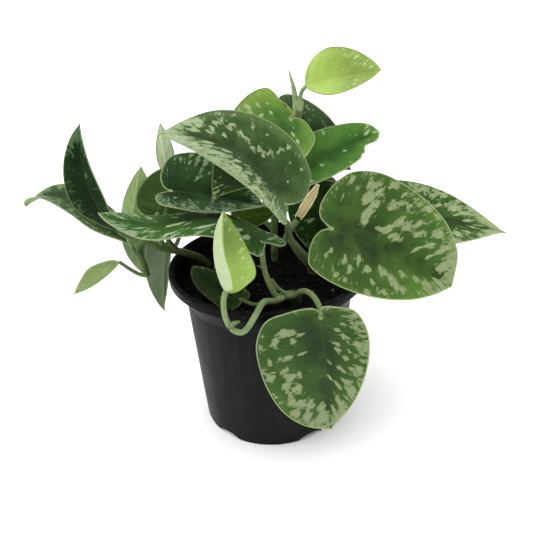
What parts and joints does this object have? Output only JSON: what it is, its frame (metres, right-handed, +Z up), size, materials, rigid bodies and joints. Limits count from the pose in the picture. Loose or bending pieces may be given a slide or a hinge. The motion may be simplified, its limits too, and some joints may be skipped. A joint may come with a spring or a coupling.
{
  "type": "satin pothos house plant in a nursery pot",
  "caption": "Satin pothos with heart-shaped, silver-blotched leaves on short vines, growing in a black plastic nursery pot filled with potting mix.",
  "frame": {"origin": "on the pot's axis, in the plane of its flat underside", "axes": "+Z up; -Y towards the side that the picture shows, +X to that view's right"},
  "size_m": [0.2633, 0.1527, 0.1983],
  "materials": {
    "pot_plastic": "black injection-moulded polypropylene, satin",
    "potting_mix": "damp dark peat with small fibres and grit",
    "stem": "smooth pale green vine and leaf stalks",
    "dry_sheath": "dry papery leaf sheath, tan",
    "leaf_green": "satin green leaf with silver blotches and a pale margin",
    "leaf_deep": "satin dark green leaf with silver blotches and a pale margin",
    "leaf_lime": "young yellow-green leaf, faint silver spots",
    "leaf_olive": "leaf seen from its plain pale underside"
  },
  "bodies": {
    "root": {"pot": "pot_plastic", "soil": "potting_mix", "vine_front": "stem", "vine_right": "stem", "vine_centre": "stem", "vine_left": "stem", "dry_sheath": "dry_sheath", "leaf_top_lime": "leaf_lime", "leaf_top_chewed": "leaf_green", "leaf_centre_silver": "leaf_deep", "leaf_right_bitten": "leaf_green", "leaf_right_heart": "leaf_green", "leaf_right_silver": "leaf_deep", "leaf_front_heart": "leaf_green", "leaf_front_young": "leaf_lime", "leaf_front_long": "leaf_deep", "leaf_left_dark": "leaf_deep", "leaf_left_olive": "leaf_olive", "leaf_left_pale": "leaf_olive", "leaf_left_small": "leaf_olive", "leaf_left_upright": "leaf_deep", "leaf_left_drooping": "leaf_deep", "leaf_left_low": "leaf_olive", "leaf_left_hanging": "leaf_olive", "leaf_left_cluster": "leaf_olive", "leaf_in_pot": "leaf_green", "leaf_back_tall": "leaf_deep", "leaf_back_hanging": "leaf_deep", "leaf_back_left": "leaf_deep", "leaf_back_right": "leaf_green", "leaf_back_low": "leaf_deep", "leaf_inner_olive": "leaf_olive"}
  },
  "joints": []
}
